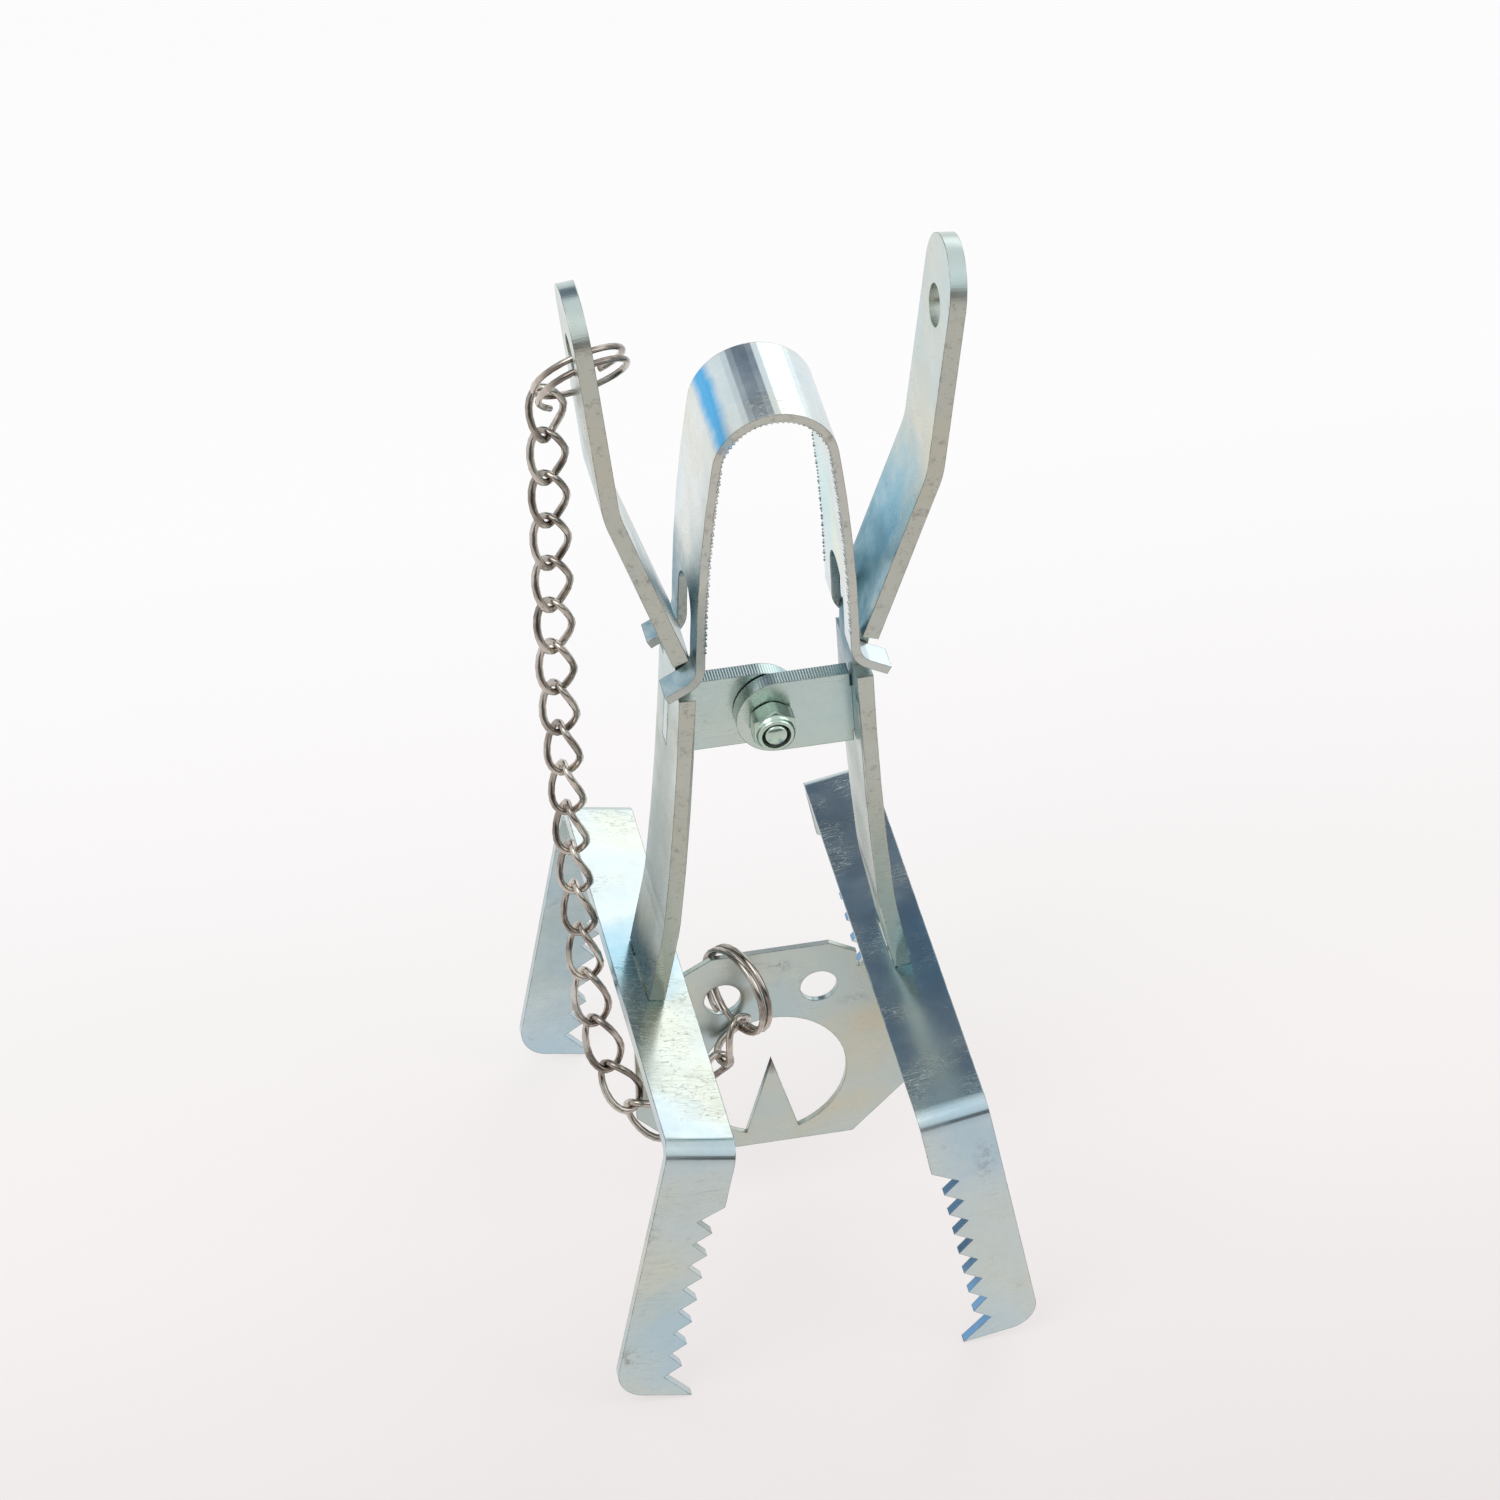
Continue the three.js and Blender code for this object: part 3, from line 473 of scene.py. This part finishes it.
def raise_spike(plate):
    """Builds the pointed spike on the flat at the foot of the plate's mouth."""
    flat = [
        face for face in plate.faces
        if face.normal.z > 0.99 and face.calc_center_median().z < MOUTH_FOOT_BELOW
        and abs(face.calc_center_median().x) < SPIKE_HALF_WIDTH
    ]
    corners = {vert for face in flat for vert in face.verts}
    left_front, left_back, right_front, right_back = sorted(
        corners, key=lambda vert: (vert.co.x, vert.co.y)
    )
    mouth_centre = left_front.co.z + math.sqrt(MOUTH_RADIUS**2 - SPIKE_HALF_WIDTH**2)
    tip = mouth_centre + SPIKE_ABOVE_MOUTH_CENTRE
    bmesh.ops.delete(plate, geom=flat, context="FACES")
    front = plate.verts.new((0.0, left_front.co.y, tip))
    back = plate.verts.new((0.0, left_back.co.y, tip))
    for face in (
        (left_front, right_front, front),
        (right_back, left_back, back),
        (right_front, right_back, back, front),
        (left_back, left_front, front, back),
    ):
        plate.faces.new(face)


def leave_burrs(spring):
    """Small dark beads in a row along the spring's inner edges, at both of its sides."""
    rims = []
    for edge in spring.edges:
        side, inner = sorted(edge.link_faces, key=lambda face: -abs(face.normal.y))
        middle = (edge.verts[0].co + edge.verts[1].co) / 2
        outward = middle - SPRING_HEART
        outward.y = 0.0
        at_side = (
            abs(side.normal.y) > 0.9 and abs(inner.normal.y) < 0.1 and abs(middle.y) > SPRING_EDGE_BEYOND
        )
        if at_side and inner.normal.dot(outward) < 0.0 and middle.z > LOWEST_BURR:
            rims.append((edge.verts[0].co.copy(), edge.verts[1].co.copy()))
    for start, end in rims:
        count = max(1, round((end - start).length / BURR_PITCH))
        for index in range(count):
            wobble = math.sin(2.4 * index + 900.0 * start.z)
            spot = start.lerp(end, (index + 0.5 + 0.15 * wobble) / count)
            made = bmesh.ops.create_icosphere(
                spring, subdivisions=1, radius=BURR_RADIUS * (1.0 + 0.3 * wobble),
                matrix=Matrix.Translation(spot),
            )
            for face in {face for vert in made["verts"] for face in vert.link_faces}:
                face.material_index = 1


def dress(node):
    """A copy of a solid whose bends shade smoothly and whose cut edges stay sharp, in its own finish."""
    finish = finish_of(node)
    data = nodes[node].data.copy()
    made = bmesh.new()
    made.from_mesh(data)
    bmesh.ops.remove_doubles(made, verts=made.verts, dist=SAME_POINT)
    bmesh.ops.dissolve_degenerate(made, edges=made.edges, dist=NO_LENGTH)
    made.normal_update()
    for face in made.faces:
        face.material_index = 0
    if node == "trigger_plate":
        raise_spike(made)
    if node == "spring":
        leave_burrs(made)
    for face in made.faces:
        face.smooth = True
    made.to_mesh(data)
    made.free()
    data.set_sharp_from_angle(angle=SHARP_WIRE if finish == "nickel" else SHARP_PLATE)
    data.materials.clear()
    data.materials.append(MATERIALS[finish])
    if node == "spring":
        data.materials.append(MATERIALS["burr"])
    piece = bpy.data.objects.new(node + "_dressed", data)
    bpy.context.scene.collection.objects.link(piece)
    if node == "spring":
        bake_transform(piece)
    else:
        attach(piece, body_of[node])
    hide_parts(node)


def lay_floor():
    """The pale table: plain to the eye and in the metal, with a faint shadow, and painted shadow that
    darkens it toward the front.
    """
    bpy.ops.mesh.primitive_plane_add(size=FLOOR_SIZE, location=(0.0, 0.0, FLOOR_HEIGHT))
    floor = bpy.context.object
    floor.name = "floor"
    paper, m, shader, place = new_material("floor_paper", 0.0)
    depth = m.parts(place["Object"])[1]
    # Painted shadow: the paper darkens toward the front, where the trap's soft shadow falls.
    paper_with_painted_shadow = m.mix(m.span(depth, FLOOR_NEAR, 0.0), (0.755, 0.71, 0.695), (0.92, 0.875, 0.865))
    paper_with_painted_shadow = m.mix(m.span(depth, 0.0, FLOOR_FAR), paper_with_painted_shadow, (1.0, 0.985, 0.985))
    m.feed(shader.inputs["Base Color"], m.mix(0.12, paper_with_painted_shadow, (0.8, 0.78, 0.78)))
    shader.inputs["Roughness"].default_value = 0.75
    shown = m.add("ShaderNodeEmission", {"Color": paper_with_painted_shadow, "Strength": 1.0})
    path = m.add("ShaderNodeLightPath").outputs
    seen = m.maths("MAXIMUM", path["Is Camera Ray"], path["Is Glossy Ray"])
    blended = m.add("ShaderNodeMixShader", {
        0: m.maths("MULTIPLY", seen, 0.7), 1: shader.outputs[0], 2: shown.outputs[0],
    })
    m.feed(paper.node_tree.nodes["Material Output"].inputs["Surface"], blended.outputs[0])
    floor.data.materials.append(paper)


def light_studio():
    """A white room with a dim screen and a bright window behind the trap, the dark of the room
    in front of it, and two soft lamps."""
    world = bpy.data.worlds.new("studio")
    bpy.context.scene.world = world
    world.use_nodes = True
    w = Nodes(world.node_tree)
    room = world.node_tree.nodes["Background"]
    toward = w.vector("NORMALIZE", w.add("ShaderNodeTexCoord").outputs["Generated"])
    _, back, height = w.parts(toward)
    screen = w.span(w.vector("DOT_PRODUCT", toward, SCREEN_TOWARD), 0.928, 0.962)
    window = w.span(w.vector("DOT_PRODUCT", toward, WINDOW_TOWARD), 0.915, 0.975)
    low = w.span(height, 0.25, 0.45, 1.0, 0.0)
    front = w.maths("MULTIPLY", w.span(back, -0.75, -0.5, 1.0, 0.0), low)
    colour = w.mix(screen, (0.86, 0.90, 0.92), (0.12, 0.155, 0.21))
    colour = w.mix(window, colour, (1.65, 1.65, 1.64))
    colour = w.mix(front, colour, (0.12, 0.12, 0.12))
    w.feed(room.inputs["Color"], colour)
    backdrop = w.add("ShaderNodeBackground", {"Color": (0.985, 0.965, 0.965), "Strength": 1.0})
    seen = w.add("ShaderNodeLightPath").outputs["Is Camera Ray"]
    blended = w.add("ShaderNodeMixShader", {0: seen, 1: room.outputs[0], 2: backdrop.outputs[0]})
    w.feed(world.node_tree.nodes["World Output"].inputs["Surface"], blended.outputs[0])
    for name, place, size, power, colour in (
        ("key", (-0.75, -0.6, 1.25), 0.9, 4.0, (1.0, 0.99, 0.97)),
        ("fill", (1.1, -0.5, 0.9), 1.1, 2.5, (0.95, 0.98, 1.0)),
    ):
        lamp = bpy.data.lights.new(name, "AREA")
        lamp.shape = "DISK"
        lamp.size = size
        lamp.energy = power
        lamp.color = colour
        held = bpy.data.objects.new(name, lamp)
        held.location = place
        aim = Vector((0.0, 0.0, 0.1)) - Vector(place)
        held.rotation_euler = aim.to_track_quat("-Z", "Y").to_euler()
        bpy.context.scene.collection.objects.link(held)


place_camera()
lay_floor()
light_studio()
bpy.context.scene.view_settings.view_transform = "Standard"
for name in sorted(nodes):
    dress(name)
